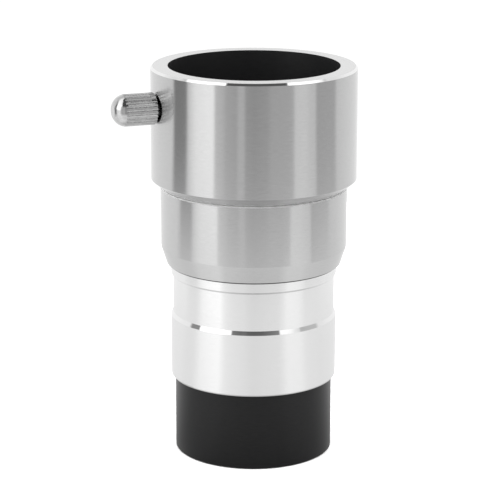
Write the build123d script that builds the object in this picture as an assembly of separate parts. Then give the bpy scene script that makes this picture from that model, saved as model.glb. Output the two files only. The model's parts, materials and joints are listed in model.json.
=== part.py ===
from build123d import *
import math
import os

# Barlow lens for 1.25 inch eyepieces, in millimetres, +Z up along the optical axis.
# The origin is on the optical axis in the mouth of the lens cell, where a filter screws in.
# The thumbscrew points out of the holder wall along screw_direction.

# Radii
tube_radius = 31.75 / 2  # 1.25 inch nosepiece, which slides into a focuser
bore_radius = 15.9  # close bore for a 1.25 inch eyepiece
relief_radius = 16.24  # wider top of the bore, around the screw tip
holder_radius = 19.5
holder_foot_radius = 17.5
body_radius = 17.75
body_foot_radius = 16.6
undercut_radius = 15.5  # safety undercut round the nosepiece
cell_radius = 15.1
light_path_radius = 13.6  # inside of the nosepiece
cell_mouth_radius = 11.7  # clear aperture of the cell's lip and of the retaining ring
lens_radius = 12.5
baffle_aperture_radius = 11.9

# Screw threads, each plain at its mean diameter, with its clearance
thread_clearance = 0.05
filter_thread_radius = 14.0  # M28.5 x 0.6, for filters
ring_thread_radius = 13.3  # retaining ring in the cell
cell_thread_radius = 14.25  # cell in the nosepiece
body_thread_radius = 15.0  # nosepiece in the lower body
holder_thread_radius = 17.2  # lower body in the holder
stud_radius = 1.45  # M3 x 0.5 stud

# Heights above the cell's mouth
filter_thread_top = 4.2
ring_thread_top = 6.0
cell_shoulder = 14.6
cell_lip = 15.3
cell_top = 18.6
cell_thread_top = 19.0
baffle_seat = 27.0
baffle_top = 28.2
undercut_bottom = 27.5
undercut_top = 34.65
nosepiece_shoulder = 36.83
body_taper_top = 40.43
eyepiece_stop = 44.0
body_shoulder = 51.9
holder_foot_top = 53.6
body_top = 57.0
close_bore_top = 64.0
screw_height = 68.0
holder_top = 75.0

# Edges
tube_edge_rounding = 0.5
undercut_taper = 0.75  # height of the taper from the nosepiece down into the undercut
undercut_chamfer = 0.4
holder_edge_chamfer = 0.4
small_chamfer = 0.2
body_foot_chamfer = 0.35
thread_lead_in = 0.35
thread_relief = 0.5  # depth of the groove under the cell's neck thread
thread_relief_height = 0.6

# Doublet: a flint meniscus under a crown that is hollow on both faces
cemented_curve = 24.5
flint_lower_curve = 148.0
crown_upper_curve = 32.0
flint_edge = 1.3
crown_edge = 7.77
cement_film = 0.02
lens_pocket_clearance = 0.05
ring_height = 1.8
ring_nose_inset = 0.1  # the ring's nose is this much narrower than the lens
ring_nose_height = 0.2
spanner_slot_width = 1.6
spanner_slot_depth = 0.8

# Baffle
baffle_clearance = 0.08
baffle_bevel = 0.6

# Thumbscrew, measured from the optical axis along the screw's own axis
screw_azimuth = 200.0  # degrees round from +X
stud_tip_reach = 15.0
stud_end_reach = 24.2
knob_base_reach = 19.68
knob_length = 8.0
knob_radius = 3.0
knob_dome_length = 2.2
knob_crown_radius = 1.3  # flat middle of the dome
knob_dome_middle_radius = 2.4
knob_dome_middle_rise = 1.4
knob_base_chamfer = 0.25
flute_count = 26
flute_radius = 0.25
flute_offset = 3.06
flute_overrun = 0.3  # how far the flutes run into the dome
knob_bore_end_reach = 24.4

screw_angle = math.radians(screw_azimuth)
screw_direction = Vector(math.cos(screw_angle), math.sin(screw_angle), 0)


def turned(outline):
    """A solid turned about +Z from a closed outline: (radius, height) points, or lines and arcs."""
    edges = Polyline(*outline, close=True) if isinstance(outline[0], tuple) else outline
    return revolve(Plane.XZ * make_face(edges), Axis.Z)


def outer_edge(solid, height):
    """The largest circular edge of a turned solid at a height."""
    circles = solid.edges().filter_by(GeomType.CIRCLE)
    level = circles.filter_by_position(Axis.Z, height - 0.001, height + 0.001)
    return level.sort_by(SortBy.RADIUS)[-1]


def on_screw_axis(solid, reach):
    """Turn a solid built about +Z onto the thumbscrew's axis, at a distance from the optical axis."""
    origin = screw_direction * reach + Vector(0, 0, screw_height)
    return Plane(origin=origin, x_dir=(0, 0, 1), z_dir=screw_direction) * solid


def dish_depth(curve):
    """How far a lens face of this radius of curvature bows between its centre and its edge."""
    return curve - math.sqrt(curve**2 - lens_radius**2)


def lens_element(bottom, lower_bow, lower_curve, top, upper_bow, upper_curve):
    """A lens between two edge heights; a face's bow is how much higher its centre is than its edge."""
    low_edge, high_edge = (lens_radius, bottom), (lens_radius, top)
    low_centre, high_centre = (0, bottom + lower_bow), (0, top + upper_bow)
    return turned(
        [
            Line(low_centre, high_centre),
            RadiusArc(high_centre, high_edge, math.copysign(upper_curve, upper_bow)),
            Line(high_edge, low_edge),
            RadiusArc(low_edge, low_centre, -math.copysign(lower_curve, lower_bow)),
        ]
    )


def lens_cell():
    """Black cell: filter thread in its mouth, lens pocket, and a threaded neck that enters the nosepiece."""
    pocket = lens_radius + lens_pocket_clearance
    neck_relief = cell_thread_radius - thread_relief
    neck_relief_top = cell_shoulder + thread_relief_height
    cell = turned(
        [
            (filter_thread_radius, 0),
            (filter_thread_radius, filter_thread_top),
            (ring_thread_radius, filter_thread_top),
            (ring_thread_radius, ring_thread_top),
            (pocket, ring_thread_top),
            (pocket, cell_lip),
            (cell_mouth_radius, cell_lip),
            (cell_mouth_radius, cell_top),
            (cell_thread_radius - thread_clearance - thread_lead_in, cell_top),
            (cell_thread_radius - thread_clearance, cell_top - thread_lead_in),
            (cell_thread_radius - thread_clearance, neck_relief_top),
            (neck_relief, neck_relief_top),
            (neck_relief, cell_shoulder),
            (cell_radius, cell_shoulder),
            (cell_radius, 0),
        ]
    )
    return chamfer([outer_edge(cell, 0), outer_edge(cell, cell_shoulder)], small_chamfer)


def flint_lens():
    """Lower element of the doublet: its lower face is slightly hollow, and its upper face bulges."""
    top = cell_lip - crown_edge - cement_film
    return lens_element(
        top - flint_edge, dish_depth(flint_lower_curve), flint_lower_curve,
        top, dish_depth(cemented_curve), cemented_curve,
    )


def crown_lens():
    """Upper element of the doublet, hollow on both faces."""
    return lens_element(
        cell_lip - crown_edge, dish_depth(cemented_curve), cemented_curve,
        cell_lip, -dish_depth(crown_upper_curve), crown_upper_curve,
    )


def retaining_ring():
    """Threaded ring that holds the doublet against the cell's lip, with two spanner slots below."""
    top = cell_lip - crown_edge - cement_film - flint_edge
    bottom = top - ring_height
    radius = ring_thread_radius - thread_clearance
    nose_radius = lens_radius - ring_nose_inset
    nose_bottom = ring_thread_top - ring_nose_height
    ring = turned(
        [
            (cell_mouth_radius, bottom),
            (cell_mouth_radius, top),
            (nose_radius, top),
            (nose_radius, nose_bottom),
            (radius, nose_bottom),
            (radius, bottom),
        ]
    )
    slot = Pos(0, 0, bottom) * Box(4 * radius, spanner_slot_width, 2 * spanner_slot_depth)
    return ring - slot


def nosepiece_barrel():
    """Bright 1.25 inch nosepiece with its safety undercut, threaded inside below and outside above."""
    neck = body_thread_radius - thread_clearance
    barrel = turned(
        [
            (cell_thread_radius, cell_shoulder),
            (cell_thread_radius, cell_thread_top),
            (light_path_radius, cell_thread_top),
            (light_path_radius, eyepiece_stop),
            (neck, eyepiece_stop),
            (neck, nosepiece_shoulder),
            (tube_radius, nosepiece_shoulder),
            (tube_radius, undercut_top + undercut_chamfer),
            (undercut_radius, undercut_top),
            (undercut_radius, undercut_bottom),
            (tube_radius, undercut_bottom - undercut_taper),
            (tube_radius, cell_shoulder),
        ]
    )
    return fillet(outer_edge(barrel, cell_shoulder), tube_edge_rounding)


def light_baffle():
    """Thin black ring inside the nosepiece that cuts stray light, with a bevelled opening."""
    radius = light_path_radius - baffle_clearance
    return turned(
        [
            (baffle_aperture_radius, baffle_seat),
            (baffle_aperture_radius + baffle_bevel, baffle_top),
            (radius, baffle_top),
            (radius, baffle_seat),
        ]
    )


def lower_body():
    """Grey body between the nosepiece and the holder, with the eyepiece bore above the stop."""
    neck = holder_thread_radius
    body = turned(
        [
            (body_thread_radius, nosepiece_shoulder),
            (body_thread_radius, eyepiece_stop),
            (bore_radius, eyepiece_stop),
            (bore_radius, body_top),
            (neck, body_top),
            (neck, body_shoulder),
            (body_radius, body_shoulder),
            (body_radius, body_taper_top),
            (body_foot_radius, nosepiece_shoulder),
        ]
    )
    body = chamfer(outer_edge(body, nosepiece_shoulder), body_foot_chamfer)
    return chamfer(outer_edge(body, body_shoulder), small_chamfer)


def eyepiece_holder():
    """Wide grey holder on top: close bore, relieved bore round the screw tip, and the screw's hole."""
    holder = turned(
        [
            (holder_thread_radius + thread_clearance, body_shoulder),
            (holder_thread_radius + thread_clearance, body_top),
            (bore_radius, body_top),
            (bore_radius, close_bore_top),
            (relief_radius, close_bore_top),
            (relief_radius, holder_top),
            (holder_radius, holder_top),
            (holder_radius, holder_foot_top),
            (holder_foot_radius, body_shoulder),
        ]
    )
    holder = chamfer(outer_edge(holder, holder_top), holder_edge_chamfer)
    wall = holder_radius - relief_radius
    hole = Cylinder(stud_radius + thread_clearance, 3 * wall)
    return holder - on_screw_axis(hole, (holder_radius + relief_radius) / 2)


def thumbscrew_stud():
    """Steel stud through the holder wall, with a bevelled tip that bears on the eyepiece."""
    length = stud_end_reach - stud_tip_reach
    stud = turned(
        [
            (0, 0),
            (stud_radius - thread_lead_in, 0),
            (stud_radius, thread_lead_in),
            (stud_radius, length),
            (0, length),
        ]
    )
    return on_screw_axis(stud, stud_tip_reach)


def thumbscrew_knob():
    """Fluted head of the thumbscrew, with a domed end and a blind hole for the stud."""
    grip_length = knob_length - knob_dome_length
    dome_middle = (knob_dome_middle_radius, grip_length + knob_dome_middle_rise)
    blank = turned(
        [
            Line((0, 0), (knob_radius - knob_base_chamfer, 0)),
            Line((knob_radius - knob_base_chamfer, 0), (knob_radius, knob_base_chamfer)),
            Line((knob_radius, knob_base_chamfer), (knob_radius, grip_length)),
            ThreePointArc((knob_radius, grip_length), dome_middle, (knob_crown_radius, knob_length)),
            Line((knob_crown_radius, knob_length), (0, knob_length)),
            Line((0, knob_length), (0, 0)),
        ]
    )
    groove = Pos(0, 0, grip_length / 2) * Cylinder(flute_radius, grip_length + 2 * flute_overrun)
    for place in PolarLocations(flute_offset, flute_count):
        blank -= place * groove
    hole_depth = knob_bore_end_reach - knob_base_reach
    hole = Pos(0, 0, hole_depth / 2) * Cylinder(stud_radius + thread_clearance, hole_depth)
    return on_screw_axis(blank - hole, knob_base_reach)


def main():
    os.makedirs("parts", exist_ok=True)
    pieces = {
        "lens_cell": lens_cell(),
        "retaining_ring": retaining_ring(),
        "flint_lens": flint_lens(),
        "crown_lens": crown_lens(),
        "nosepiece_barrel": nosepiece_barrel(),
        "light_baffle": light_baffle(),
        "lower_body": lower_body(),
        "eyepiece_holder": eyepiece_holder(),
        "thumbscrew_stud": thumbscrew_stud(),
        "thumbscrew_knob": thumbscrew_knob(),
    }
    for name, piece in pieces.items():
        export_step(piece, f"parts/{name}.step")


main()
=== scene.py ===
"""The looks of the barlow lens: materials, threads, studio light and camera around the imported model."""

import json
import math

import bpy
from mathutils import Matrix, Vector


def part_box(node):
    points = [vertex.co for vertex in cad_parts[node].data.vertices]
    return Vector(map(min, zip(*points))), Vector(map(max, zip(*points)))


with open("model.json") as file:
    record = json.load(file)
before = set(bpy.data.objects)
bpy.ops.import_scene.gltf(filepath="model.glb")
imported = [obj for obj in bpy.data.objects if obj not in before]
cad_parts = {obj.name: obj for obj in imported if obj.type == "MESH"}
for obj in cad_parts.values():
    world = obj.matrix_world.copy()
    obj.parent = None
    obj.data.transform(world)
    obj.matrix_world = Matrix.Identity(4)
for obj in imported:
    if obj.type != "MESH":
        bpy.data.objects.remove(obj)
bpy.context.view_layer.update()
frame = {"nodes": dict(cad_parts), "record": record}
record = frame["record"]
mounts = {mount["name"]: mount for mount in record["mounts"]}

MM = 0.001


# ---------------------------------------------------------------- node helpers


def new_material(name):
    """A plain node material; returns the material, its tree and its Principled shader."""
    material = bpy.data.materials.new(name)
    material.use_nodes = True
    tree = material.node_tree
    return material, tree, tree.nodes["Principled BSDF"]


def math_node(tree, operation, first, second=None, third=None):
    """A Math node; each input is a number or another node's output. Returns its output."""
    node = tree.nodes.new("ShaderNodeMath")
    node.operation = operation
    for socket, value in zip(node.inputs, (first, second, third)):
        if value is None:
            continue
        if isinstance(value, (int, float)):
            socket.default_value = value
        else:
            tree.links.new(value, socket)
    return node.outputs[0]


def object_axes(tree):
    """The object's own X, Y and Z as three outputs, in metres."""
    place = tree.nodes.new("ShaderNodeTexCoord")
    split = tree.nodes.new("ShaderNodeSeparateXYZ")
    tree.links.new(place.outputs["Object"], split.inputs[0])
    return split.outputs


def noise_at(tree, vector, scale, detail=2.0, roughness=0.5):
    """Noise between 0 and 1 at a vector output."""
    noise = tree.nodes.new("ShaderNodeTexNoise")
    noise.inputs["Scale"].default_value = scale
    noise.inputs["Detail"].default_value = detail
    noise.inputs["Roughness"].default_value = roughness
    tree.links.new(vector, noise.inputs["Vector"])
    return noise.outputs["Fac"]


def from_axis(tree, x, y):
    """How far a place is from the Z axis."""
    squares = math_node(tree, "ADD", math_node(tree, "MULTIPLY", x, x), math_node(tree, "MULTIPLY", y, y))
    return math_node(tree, "POWER", squares, 0.5)


def turning_vector(tree, along):
    """Coordinates for lathe marks: fast along the part's profile, slow round its axis.

    Both the height and the radius count as along the profile, so the marks run round flat faces too.
    """
    across = 900.0
    x, y, z = object_axes(tree)
    profile = math_node(tree, "MULTIPLY", math_node(tree, "ADD", z, from_axis(tree, x, y)), along)
    join = tree.nodes.new("ShaderNodeCombineXYZ")
    tree.links.new(math_node(tree, "MULTIPLY", x, across), join.inputs["X"])
    tree.links.new(math_node(tree, "MULTIPLY", y, across), join.inputs["Y"])
    tree.links.new(profile, join.inputs["Z"])
    return join.outputs[0]


def ramp(tree, value, stops):
    """A colour ramp from (position, colour or grey) stops; returns its colour output."""
    node = tree.nodes.new("ShaderNodeValToRGB")
    elements = node.color_ramp.elements
    while len(elements) < len(stops):
        elements.new(0.5)
    for element, (position, colour) in zip(elements, stops):
        element.position = position
        grey = isinstance(colour, (int, float))
        element.color = (colour, colour, colour, 1) if grey else (*colour, 1)
    tree.links.new(value, node.inputs["Fac"])
    return node.outputs["Color"]


def scaled(tree, value, low, high):
    """Map 0..1 to low..high."""
    return math_node(tree, "MULTIPLY_ADD", value, high - low, low)


def bump(tree, shader, height, distance, strength=1.0):
    """Drive the shader's normal with a height output; distance is in metres."""
    node = tree.nodes.new("ShaderNodeBump")
    node.inputs["Strength"].default_value = strength
    node.inputs["Distance"].default_value = distance
    tree.links.new(height, node.inputs["Height"])
    tree.links.new(node.outputs["Normal"], shader.inputs["Normal"])


def thread_height(tree, pitch, along, across, up):
    """A right-hand screw thread's height, 0 to 1: a ridge that climbs one pitch in each turn.

    along, across and up are outputs of the object's place on the screw axis and on two axes square to it.
    """
    turn = math_node(tree, "MULTIPLY", math_node(tree, "ARCTAN2", up, across), 0.5 / math.pi)
    lead = math_node(tree, "SUBTRACT", math_node(tree, "MULTIPLY", along, 1 / pitch), turn)
    return math_node(tree, "PINGPONG", lead, 0.5)


# ------------------------------------------------------------------- materials


def turned_metal(name, dark, light, roughness, anisotropy, mark_depth, along=26000.0):
    """Lathe-turned metal: fine rings in its colour, roughness and surface, round the optical axis."""
    material, tree, shader = new_material(name)
    shader.inputs["Metallic"].default_value = 1.0
    shader.inputs["Anisotropic"].default_value = anisotropy
    shader.inputs["Anisotropic Rotation"].default_value = 0.25
    marks = noise_at(tree, turning_vector(tree, along), 1.0, 3.0, 0.6)
    tree.links.new(ramp(tree, marks, [(0.3, dark), (0.7, light)]), shader.inputs["Base Color"])
    tree.links.new(scaled(tree, marks, roughness * 0.8, roughness * 1.25), shader.inputs["Roughness"])
    tangent = tree.nodes.new("ShaderNodeTangent")
    tangent.direction_type = "RADIAL"
    tangent.axis = "Z"
    tree.links.new(tangent.outputs["Tangent"], shader.inputs["Tangent"])
    if mark_depth:
        bump(tree, shader, marks, mark_depth)
    return material


def satin_coat(name, dark_grey, roughness, light_grey, index=1.33):
    """A dyed satin surface: faint turning marks between two greys, and fine pores."""
    material, tree, shader = new_material(name)
    shader.inputs["IOR"].default_value = index
    marks = noise_at(tree, turning_vector(tree, 9000.0), 1.0, 2.0, 0.5)
    blue = 0.0004
    greys = [(0.25, dark_grey * 0.8), (0.75, light_grey)]
    tint = [(place, (grey, grey, grey + blue)) for place, grey in greys]
    tree.links.new(ramp(tree, marks, tint), shader.inputs["Base Color"])
    tree.links.new(scaled(tree, marks, roughness * 0.85, roughness * 1.15), shader.inputs["Roughness"])
    pores = tree.nodes.new("ShaderNodeTexCoord")
    grain = noise_at(tree, pores.outputs["Object"], 9000.0, 2.0, 0.6)
    bump(tree, shader, math_node(tree, "ADD", math_node(tree, "MULTIPLY", grain, 0.5), marks), 2e-6, 0.6)
    return material


def plated_metal(name, dark, light, roughness, unevenness):
    """Plated screw metal with soft, slightly uneven polish."""
    material, tree, shader = new_material(name)
    shader.inputs["Metallic"].default_value = 1.0
    place = tree.nodes.new("ShaderNodeTexCoord")
    cloud = noise_at(tree, place.outputs["Object"], 1400.0, 4.0, 0.6)
    tree.links.new(ramp(tree, cloud, [(0.3, dark), (0.7, light)]), shader.inputs["Base Color"])
    tree.links.new(scaled(tree, cloud, roughness * 0.6, roughness * 1.5), shader.inputs["Roughness"])
    bump(tree, shader, cloud, unevenness, 0.5)
    return material


def coated_glass(name, index, film_thickness):
    """Optical glass with a thin coating that tints its reflections."""
    material, tree, shader = new_material(name)
    shader.inputs["Transmission Weight"].default_value = 1.0
    shader.inputs["IOR"].default_value = index
    shader.inputs["Thin Film Thickness"].default_value = film_thickness
    shader.inputs["Thin Film IOR"].default_value = 1.38
    place = tree.nodes.new("ShaderNodeTexCoord")
    haze = noise_at(tree, place.outputs["Object"], 300.0, 3.0, 0.5)
    tree.links.new(ramp(tree, haze, [(0.3, (0.955, 0.985, 0.975)), (0.7, (0.97, 0.99, 0.985))]),
                   shader.inputs["Base Color"])
    tree.links.new(scaled(tree, haze, 0.0, 0.02), shader.inputs["Roughness"])
    return material


def threaded(material, pitch, depth, axis="Z", centre_height=0.0, azimuth=0.0):
    """A copy of a material with a screw thread worked into its surface.

    The thread runs round +Z, or round a level axis at an azimuth and a height.
    """
    copy = material.copy()
    copy.name = material.name + "_thread"
    tree = copy.node_tree
    shader = next(node for node in tree.nodes if node.type == "BSDF_PRINCIPLED")
    for link in list(shader.inputs["Normal"].links):
        tree.links.remove(link)
    x, y, z = object_axes(tree)
    if axis == "Z":
        along, across, up = z, x, y
    else:
        cosine, sine = math.cos(azimuth), math.sin(azimuth)
        along = math_node(tree, "ADD", math_node(tree, "MULTIPLY", x, cosine),
                          math_node(tree, "MULTIPLY", y, sine))
        across = math_node(tree, "SUBTRACT", math_node(tree, "MULTIPLY", y, cosine),
                           math_node(tree, "MULTIPLY", x, sine))
        up = math_node(tree, "SUBTRACT", z, centre_height)
    bump(tree, shader, thread_height(tree, pitch, along, across, up), depth)
    return copy


satin = turned_metal("satin_anodised", 0.57, 0.64, 0.15, 0.88, 0.7e-6)
satin_face = turned_metal("turned_face", 0.62, 0.71, 0.22, 0.4, 1.0e-6, 30000.0)
bright = turned_metal("bright_barrel", 0.83, 0.90, 0.17, 0.78, 0.8e-6)
mirror = turned_metal("mirror_edge", 0.88, 0.92, 0.05, 0.0, 0.0)
black = satin_coat("black_cell", 0.003, 0.30, 0.006, 1.36)
# black inside the bores, and also painted shade on the lower body's downward foot chamfer
bore_black_and_seam_shade = satin_coat("black_bore_and_seam_shade", 0.007, 0.45, 0.011, 1.5)
chrome = plated_metal("screw_chrome", 0.54, 0.66, 0.14, 0.8e-6)
steel = plated_metal("screw_steel", 0.45, 0.58, 0.28, 3e-6)
crown_glass = coated_glass("crown_glass", 1.52, 330.0)
flint_glass = coated_glass("flint_glass", 1.65, 330.0)
# painted highlight: this pale coat on the body's small upper chamfer stands in for the light a turned edge
# would catch
painted_edge_highlight = satin_coat("painted_edge_highlight", 0.93, 0.4, 0.97, 1.5)  # the pale line round the body's upper edge
lens_edge = satin_coat("lens_edge_paint", 0.01, 0.5, 0.014)

knob_low, knob_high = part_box("thumbscrew_knob")
screw_centre = (knob_low + knob_high) / 2
screw_azimuth = math.atan2(screw_centre.y, screw_centre.x)
fine_pitch, fine_depth = 0.6 * MM, 0.35 * MM
stud_pitch, stud_depth = 0.5 * MM, 0.3 * MM
stud_end_reach = 1.2 * MM  # the stud's flat ends stay within this of its axis
black_thread = threaded(black, fine_pitch, fine_depth)
bright_thread = threaded(bright, fine_pitch, fine_depth)
stud_thread = threaded(steel, stud_pitch, stud_depth, "level", screw_centre.z, screw_azimuth)


def screw_side(height, up):
    """Whether a face of the stud is on its round side and not on its ends."""
    return abs(up) > 0.2 or abs(height - screw_centre.z) > stud_end_reach


def paint(node, base, rules=()):
    """Give a CAD node a base material, and other materials to the faces that a rule picks.

    A rule is (material, test), and its test takes a face's radius, height and outward lean:
    the radial and upward parts of its normal. The first rule that holds wins.
    """
    mesh = frame["nodes"][node].data
    mesh.materials.clear()
    mesh.materials.append(base)
    for material, _ in rules:
        mesh.materials.append(material)
    for face in mesh.polygons:
        centre = face.center
        radius = math.hypot(centre.x, centre.y)
        outward = (face.normal.x * centre.x + face.normal.y * centre.y) / max(radius, 1e-9)
        face.material_index = 0
        for number, (_, test) in enumerate(rules, 1):
            if test(radius, centre.z, outward, face.normal.z):
                face.material_index = number
                break


_, holder_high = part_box("eyepiece_holder")
barrel_low, barrel_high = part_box("nosepiece_barrel")
inner_wall = (mounts["eyepiece_bore"]["dims"]["r_mm"] + 0.5) * MM  # just outside the bore and its relief
below_rim = holder_high.z - MM
barrel_end = barrel_high.z - MM
barrel_thread_top = barrel_low.z + 4.3 * MM
neck_thread_bottom = barrel_low.z + 0.7 * MM  # above the groove under the cell's neck thread
neck_inside = 14.0 * MM
filter_thread_inside = 13.9 * MM
filter_thread_depth = mounts["filter_thread"]["dims"]["length_mm"] * MM

paint(
    "eyepiece_holder",
    satin,
    [
        (bore_black_and_seam_shade, lambda r, z, out, up: r < inner_wall and (out < -0.5 or z < below_rim)),
        (satin_face, lambda r, z, out, up: up > 0.9),
        (mirror, lambda r, z, out, up: out > 0.3 and up > 0.3),
    ],
)
paint(
    "lower_body",
    satin,
    [
        (bore_black_and_seam_shade, lambda r, z, out, up: out < -0.3 or (r < inner_wall and up > 0.5)),
        # painted highlight on the body's upper chamfer
        (painted_edge_highlight, lambda r, z, out, up: out > 0.3 and up > 0.3),
        # painted shade: the body's downward faces, its foot chamfer among them, are painted black for the
        # dark shadow line under the body
        (bore_black_and_seam_shade, lambda r, z, out, up: up < -0.5),
    ],
)
paint(
    "nosepiece_barrel",
    bright,
    [
        (bright_thread, lambda r, z, out, up: out < -0.5 and z < barrel_thread_top),
        (bore_black_and_seam_shade, lambda r, z, out, up: out < -0.5),
        (bore_black_and_seam_shade, lambda r, z, out, up: up > 0.9 and z > barrel_end),
        (mirror, lambda r, z, out, up: out > 0.5 and 0.3 < up < 0.6),
    ],
)
paint(
    "lens_cell",
    black,
    [
        (black_thread, lambda r, z, out, up: out > 0.5 and z > neck_thread_bottom and r > neck_inside),
        (
            black_thread,
            lambda r, z, out, up: out < -0.5 and z < filter_thread_depth and r > filter_thread_inside,
        ),
    ],
)
paint("retaining_ring", black)
paint("light_baffle", bore_black_and_seam_shade)
paint("crown_lens", crown_glass, [(lens_edge, lambda r, z, out, up: abs(out) > 0.9)])
paint("flint_lens", flint_glass, [(lens_edge, lambda r, z, out, up: abs(out) > 0.9)])
paint("thumbscrew_stud", steel, [(stud_thread, lambda r, z, out, up: screw_side(z, up))])
paint("thumbscrew_knob", chrome)


# ---------------------------------------------------------------- studio light


# Light round the part as (degrees, radiance): 0 is on the camera's side, and the left is negative.
# It comes from the walls, and from the table close to the part and far from it.
wall_stops = [
    (-180, 1.0), (-135, 0.95), (-101, 0.88), (-97, 0.27), (-80, 0.27), (-77, 0.80), (-72, 1.0),
    (-66, 1.18), (-50, 1.28), (-45, 1.28), (-42.5, 0.72), (-34, 0.66), (-30, 0.54), (-19, 0.49),
    (-16.5, 0.64), (-11, 0.64), (-8.5, 0.43), (0, 0.40), (14, 0.44), (19, 0.52), (38, 0.54), (43, 0.57),
    (46, 0.84), (58, 0.86), (64, 0.78), (70.5, 0.76), (73, 0.50), (99, 0.54), (104, 0.82), (125, 0.90),
    (180, 1.0),
]
near_stops = [
    (-180, 0.88), (-110, 0.88), (-98, 0.85), (-85, 0.87), (-72, 1.00), (-45, 1.08), (-36, 0.93),
    (0, 0.82), (32, 0.85), (44, 0.98), (62, 0.97), (74, 0.88), (100, 0.84), (112, 0.85), (180, 0.88),
]
far_stops = [
    (-180, 0.95), (-106, 0.90), (-101, 0.74), (-82, 0.73), (-76, 0.92), (-66, 1.08), (-44, 1.12),
    (-42, 0.90), (-32, 0.78), (0, 0.67), (34, 0.71), (42, 0.75), (45, 0.98), (58, 0.92), (70, 0.86),
    (73, 0.67), (85, 0.74), (104, 0.80), (130, 0.90), (180, 0.95),
]

# Light overhead as (place from left to right, radiance), with the edges of the room at -1 and 1.
overhead_stops = [
    (-1.0, 0.5), (-0.83, 0.3), (-0.79, 1.5), (-0.29, 1.5), (-0.27, 0.09), (0.33, 0.09),
    (0.35, 1.5), (0.66, 1.4), (0.82, 1.2), (0.87, 0.3), (1.0, 0.5),
]

# How bright the table is as (metres from the part's axis, factor); the low factor near the axis is painted
# shade for the part's shadow on the table.
table_stops = [(0.016, 0.55), (0.05, 1.0), (0.095, 1.0), (0.130, 1.09), (0.146, 1.09), (0.165, 1.02)]


def round_ramp(tree, turn, stops):
    """A ramp of greys over a turn of 0 to 1, from stops in degrees."""
    return ramp(tree, turn, [((angle + 180) / 360, grey) for angle, grey in stops])


def facing(tree, x, y):
    """Which way a direction faces, as 0 to 1: 0.5 on the camera's side, less on the left."""
    angle = math_node(tree, "ARCTAN2", x, math_node(tree, "MULTIPLY", y, -1.0))
    return math_node(tree, "MULTIPLY_ADD", angle, 0.5 / math.pi, 0.5)


def colour_mix(tree, factor, first, second, blend_type="MIX"):
    """Mix two colour outputs; the factor is a number or an output."""
    mix = tree.nodes.new("ShaderNodeMix")
    mix.data_type = "RGBA"
    mix.blend_type = blend_type
    if isinstance(factor, (int, float)):
        mix.inputs["Factor"].default_value = factor
    else:
        tree.links.new(factor, mix.inputs["Factor"])
    tree.links.new(first, mix.inputs["A"])
    tree.links.new(second, mix.inputs["B"])
    return mix.outputs["Result"]


def grey_value(tree, grey):
    """A constant grey as a colour output."""
    node = tree.nodes.new("ShaderNodeRGB")
    node.outputs[0].default_value = (grey, grey, grey, 1)
    return node.outputs[0]


def studio_world():
    """A light studio: bright panels left and right, grey in front and overhead, and a pale back."""
    world = bpy.data.worlds.new("studio")
    bpy.context.scene.world = world
    world.use_nodes = True
    tree = world.node_tree
    tree.nodes.clear()
    texture_place = tree.nodes.new("ShaderNodeTexCoord")
    split = tree.nodes.new("ShaderNodeSeparateXYZ")
    tree.links.new(texture_place.outputs["Generated"], split.inputs[0])
    x, y, z = split.outputs
    turn = facing(tree, x, y)
    walls = round_ramp(tree, turn, wall_stops)
    spread = math_node(tree, "DIVIDE", x, math_node(tree, "MULTIPLY_ADD", y, -0.9, 1.0))
    side = math_node(tree, "MULTIPLY_ADD", spread, 0.5, 0.5)
    in_front = ramp(tree, side, [((place + 1) / 2, grey) for place, grey in overhead_stops])
    behind = ramp(tree, math_node(tree, "MULTIPLY_ADD", y, 0.5, 0.5), [(0.58, 0.0), (0.68, 1.0)])
    overhead = colour_mix(tree, behind, in_front, grey_value(tree, 0.8))
    lift = ramp(tree, z, [(0.45, 0.0), (0.6, 1.0)])
    window_height = ramp(tree, z, [(0.10, 0.0), (0.14, 1.0), (0.62, 1.0), (0.72, 0.0)])
    window_width = round_ramp(tree, turn, [(-84, 0.0), (-81, 1.0), (-44, 1.0), (-41, 0.0)])
    window = math_node(tree, "MULTIPLY", window_height, window_width)
    studio = tree.nodes.new("ShaderNodeBackground")
    tree.links.new(colour_mix(tree, window, colour_mix(tree, lift, walls, overhead), grey_value(tree, 1.8)),
                   studio.inputs["Color"])
    plain = tree.nodes.new("ShaderNodeBackground")
    plain.inputs["Color"].default_value = (1.0, 1.0, 1.0, 1)
    plain.inputs["Strength"].default_value = 1.05
    path = tree.nodes.new("ShaderNodeLightPath")
    choose = tree.nodes.new("ShaderNodeMixShader")
    tree.links.new(path.outputs["Is Camera Ray"], choose.inputs["Fac"])
    tree.links.new(studio.outputs[0], choose.inputs[1])
    tree.links.new(plain.outputs[0], choose.inputs[2])
    output = tree.nodes.new("ShaderNodeOutputWorld")
    tree.links.new(choose.outputs[0], output.inputs["Surface"])


def disc(name, radius, height):
    """A flat round sheet centred under the part."""
    bpy.ops.mesh.primitive_circle_add(vertices=128, radius=radius, fill_type="NGON", location=(0, 0, height))
    bpy.context.object.name = name
    return bpy.context.object


def make_floor(radius):
    """A pale round table top under the part, seen only from above and left out of the metal's reflections."""
    floor = disc("floor", radius, 0.0)
    material, tree, shader = new_material("pale_table")
    place = tree.nodes.new("ShaderNodeTexCoord")
    cloud = noise_at(tree, place.outputs["Object"], 30.0)
    tree.links.new(ramp(tree, cloud, [(0.3, 0.93), (0.7, 0.95)]), shader.inputs["Base Color"])
    shader.inputs["Roughness"].default_value = 0.6
    side = tree.nodes.new("ShaderNodeNewGeometry")
    clear = tree.nodes.new("ShaderNodeBsdfTransparent")
    one_sided = tree.nodes.new("ShaderNodeMixShader")
    output = next(node for node in tree.nodes if node.type == "OUTPUT_MATERIAL")
    tree.links.new(side.outputs["Backfacing"], one_sided.inputs["Fac"])
    tree.links.new(shader.outputs["BSDF"], one_sided.inputs[1])
    tree.links.new(clear.outputs["BSDF"], one_sided.inputs[2])
    tree.links.new(one_sided.outputs[0], output.inputs["Surface"])
    floor.data.materials.append(material)
    floor.visible_glossy = False


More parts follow.
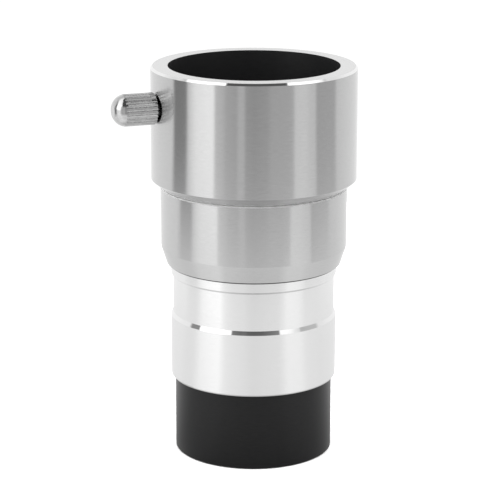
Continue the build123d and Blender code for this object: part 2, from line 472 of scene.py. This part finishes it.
def make_table_glow(radius):
    """What the metal reflects of the table: light grey, darker near the part and brighter at the sides."""
    glow = disc("table_glow", radius, -0.0002)
    material = bpy.data.materials.new("table_glow")
    material.use_nodes = True
    tree = material.node_tree
    tree.nodes.clear()
    x, y, z = object_axes(tree)
    reach = math_node(tree, "MULTIPLY", from_axis(tree, x, y), 1 / radius)
    shade = ramp(tree, reach, [(place / radius, factor) for place, factor in table_stops])
    far_start, far_full = 0.148, 0.167
    wall_start, wall_full = 0.18, 0.265
    outward = ramp(tree, reach, [(far_start / radius, 0.0), (far_full / radius, 1.0)])
    edge = ramp(tree, reach, [(wall_start / radius, 0.0), (wall_full / radius, 1.0)])
    turn = facing(tree, x, y)
    near, far, wall = (round_ramp(tree, turn, stops) for stops in (near_stops, far_stops, wall_stops))
    around = colour_mix(tree, edge, colour_mix(tree, outward, near, far), wall)
    emission = tree.nodes.new("ShaderNodeEmission")
    tree.links.new(colour_mix(tree, 1.0, shade, around, "MULTIPLY"), emission.inputs["Color"])
    output = tree.nodes.new("ShaderNodeOutputMaterial")
    tree.links.new(emission.outputs[0], output.inputs["Surface"])
    glow.data.materials.append(material)
    glow.visible_camera = False
    glow.visible_diffuse = False
    glow.visible_shadow = False
    glow.visible_transmission = False


def soft_light(name, place, size, power, target):
    """A square area light aimed at a point, left out of reflections: it only fills."""
    data = bpy.data.lights.new(name, "AREA")
    data.size = size
    data.energy = power
    light = bpy.data.objects.new(name, data)
    bpy.context.scene.collection.objects.link(light)
    light.location = place
    light.rotation_euler = (Vector(target) - Vector(place)).to_track_quat("-Z", "Y").to_euler()
    light.visible_glossy = False
    light.visible_camera = False


def make_camera():
    """The camera in front of the part, looking down on it a little, with a long lens."""
    distance, height, down, roll = 0.3982, 0.1465, 15.12, 0.15
    data = bpy.data.cameras.new("camera")
    data.lens = 154.8
    data.sensor_width = 36.0
    data.shift_x = -0.0073
    data.shift_y = 0.0015
    camera = bpy.data.objects.new("camera", data)
    bpy.context.scene.collection.objects.link(camera)
    camera.location = (0, -distance, height)
    tilt = Matrix.Rotation(math.radians(90 - down), 4, "X") @ Matrix.Rotation(math.radians(roll), 4, "Z")
    camera.rotation_euler = tilt.to_euler()
    bpy.context.scene.camera = camera


studio_world()
make_floor(radius=0.2)
make_table_glow(radius=0.28)
soft_light("top_fill", place=(0, -0.1, 0.8), size=1.0, power=14.0, target=(0, 0, 0.04))
make_camera()
bpy.context.scene.view_settings.view_transform = "Standard"
